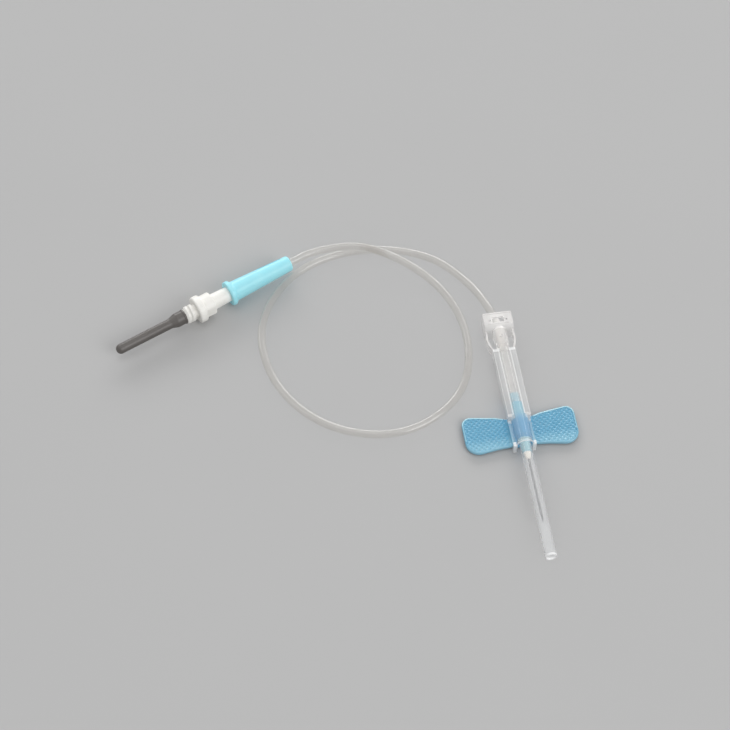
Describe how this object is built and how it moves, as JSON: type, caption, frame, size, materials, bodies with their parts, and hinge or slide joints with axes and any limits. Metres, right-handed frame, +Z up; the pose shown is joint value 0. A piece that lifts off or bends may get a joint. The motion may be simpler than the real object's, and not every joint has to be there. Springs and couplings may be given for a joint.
{
  "type": "blood collection needle",
  "caption": "Winged blood collection needle with a pull-back clear sheath, needle guard, short tube and a luer adapter with a rubber-sleeved rear needle.",
  "frame": {"origin": "bottom centre of the winged unit's box, with the tube and luer end left out", "axes": "needle points along -Y, wings spread along X, +Z up from the table"},
  "size_m": [0.1217, 0.1086, 0.0078],
  "materials": {
    "clear_carrier": "clear moulded plastic, slightly milky",
    "clear_sheath": "clear moulded plastic",
    "clear_guard": "clear extruded plastic",
    "clear_tube": "clear soft vinyl",
    "hub_blue": "translucent light blue",
    "seat_white": "cream white plastic",
    "needle_steel": "drawn stainless steel",
    "wing_blue": "translucent blue soft vinyl",
    "connector_blue": "light sky blue plastic",
    "adapter_white": "natural white plastic",
    "sleeve_rubber": "dark grey rubber, satin"
  },
  "bodies": {
    "root": {"needle_carrier": "clear_carrier", "needle_hub": "hub_blue", "needle_seat": "seat_white", "cannula": "needle_steel", "tubing": "clear_tube", "luer_connector": "connector_blue"},
    "sheath_slider": {"sheath": "clear_sheath", "wing_collar": "wing_blue"},
    "left_wing_flap": {"left_wing": "wing_blue"},
    "right_wing_flap": {"right_wing": "wing_blue"},
    "guard_tube": {"needle_guard": "clear_guard"},
    "adapter": {"adapter_hub": "adapter_white", "rear_cannula": "needle_steel", "rubber_sleeve": "sleeve_rubber"}
  },
  "joints": [
    {"name": "sheath_slide", "type": "slide", "parent": "root", "child": "sheath_slider", "axis": [0, -1, 0], "range_m": [0, 0.0245]},
    {"name": "needle_guard_pull", "type": "slide", "parent": "root", "child": "guard_tube", "axis": [0, -1, 0], "range_m": [0, 0.036]},
    {"name": "left_wing_fold", "type": "hinge", "parent": "sheath_slider", "child": "left_wing_flap", "pos_m": [-0.00375, 0.0016, 0.001], "axis": [0, 1, 0], "range_deg": [0, 85], "stiffness_Nm_per_rad": 0.0002},
    {"name": "right_wing_fold", "type": "hinge", "parent": "sheath_slider", "child": "right_wing_flap", "pos_m": [0.00375, 0.0016, 0.001], "axis": [0, -1, 0], "range_deg": [0, 85], "stiffness_Nm_per_rad": 0.0002},
    {"name": "adapter_pull", "type": "slide", "parent": "root", "child": "adapter", "axis": [-0.9108, -0.4128, 0], "range_m": [0, 0.012]}
  ]
}
